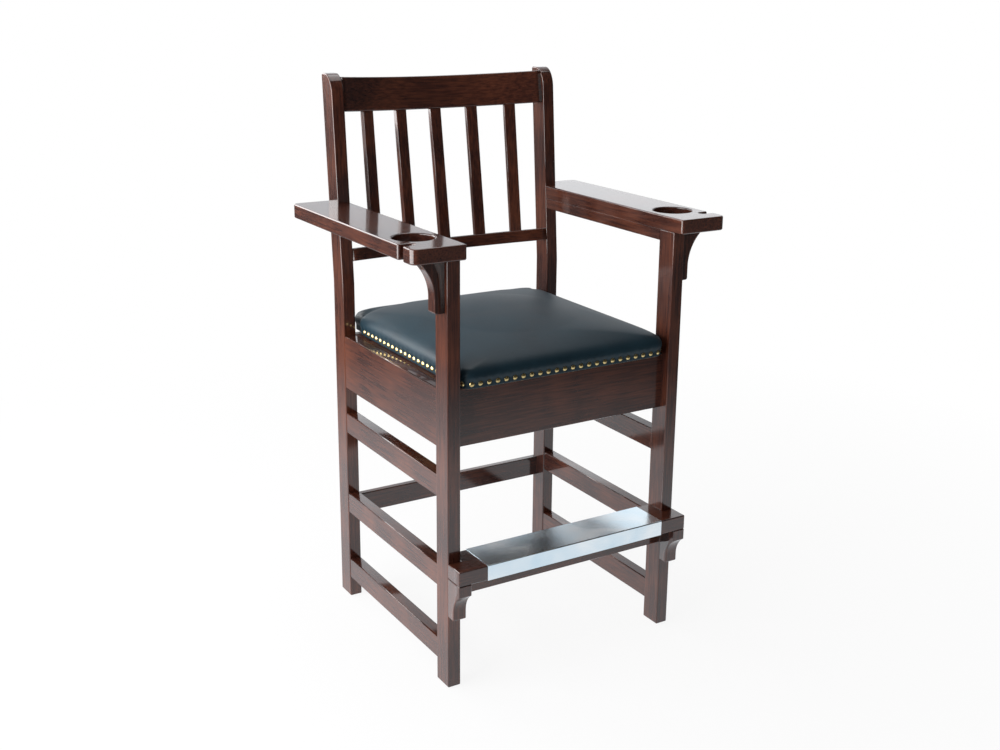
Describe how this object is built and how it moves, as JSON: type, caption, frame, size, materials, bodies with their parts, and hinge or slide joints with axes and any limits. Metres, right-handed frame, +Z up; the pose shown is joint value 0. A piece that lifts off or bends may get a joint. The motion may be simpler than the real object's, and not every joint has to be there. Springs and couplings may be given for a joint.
{
  "type": "spectator chair",
  "caption": "Tall hardwood spectator chair with a steel-capped footrest, a nailed leather seat, a bowed slat back, and broad arms with a cup recess and a cue notch each.",
  "frame": {"origin": "on the floor, under the middle of the whole chair's plan", "axes": "+Z up, the chair faces -Y, +X is to the right of someone who looks along +Y at its front"},
  "size_m": [0.795, 0.6906, 1.3],
  "materials": {
    "lacquered_wood": "dark brown, high gloss lacquer over fine straight grain",
    "bare_wood": "unfinished, matt",
    "leather": "dark blue-grey, smooth satin",
    "brass": "polished",
    "polished_steel": "polished stainless sheet",
    "zinc_steel": "zinc plated",
    "foam": "upholstery foam"
  },
  "bodies": {
    "root": {"front_leg_left": "lacquered_wood", "front_leg_right": "lacquered_wood", "rear_leg_left": "lacquered_wood", "rear_leg_right": "lacquered_wood", "front_apron": "lacquered_wood", "rear_apron": "lacquered_wood", "side_apron_left": "lacquered_wood", "side_apron_right": "lacquered_wood", "upper_stretcher_left": "lacquered_wood", "upper_stretcher_right": "lacquered_wood", "middle_stretcher_left": "lacquered_wood", "middle_stretcher_right": "lacquered_wood", "lower_stretcher_left": "lacquered_wood", "lower_stretcher_right": "lacquered_wood", "rear_stretcher": "lacquered_wood", "footrest_rail": "lacquered_wood", "footrest_board": "lacquered_wood", "footrest_plate": "polished_steel", "footrest_corbel_left": "lacquered_wood", "footrest_corbel_right": "lacquered_wood", "footrest_screws": "zinc_steel", "arm_rail_left": "lacquered_wood", "arm_rail_right": "lacquered_wood", "armrest_left": "lacquered_wood", "armrest_right": "lacquered_wood", "arm_corbel_left": "lacquered_wood", "arm_corbel_right": "lacquered_wood", "arm_screws": "zinc_steel", "corbel_dowels": "bare_wood", "crest_rail": "lacquered_wood", "lower_back_rail": "lacquered_wood", "back_slat_1": "lacquered_wood", "back_slat_2": "lacquered_wood", "back_slat_3": "lacquered_wood", "back_slat_4": "lacquered_wood", "back_slat_5": "lacquered_wood", "seat_base": "bare_wood", "seat_foam": "foam", "seat_cover": "leather", "seat_nails": "brass", "seat_cleat_left": "lacquered_wood", "seat_cleat_right": "lacquered_wood", "seat_corner_blocks": "lacquered_wood", "seat_screws": "zinc_steel", "leg_glides": "zinc_steel"}
  },
  "joints": []
}
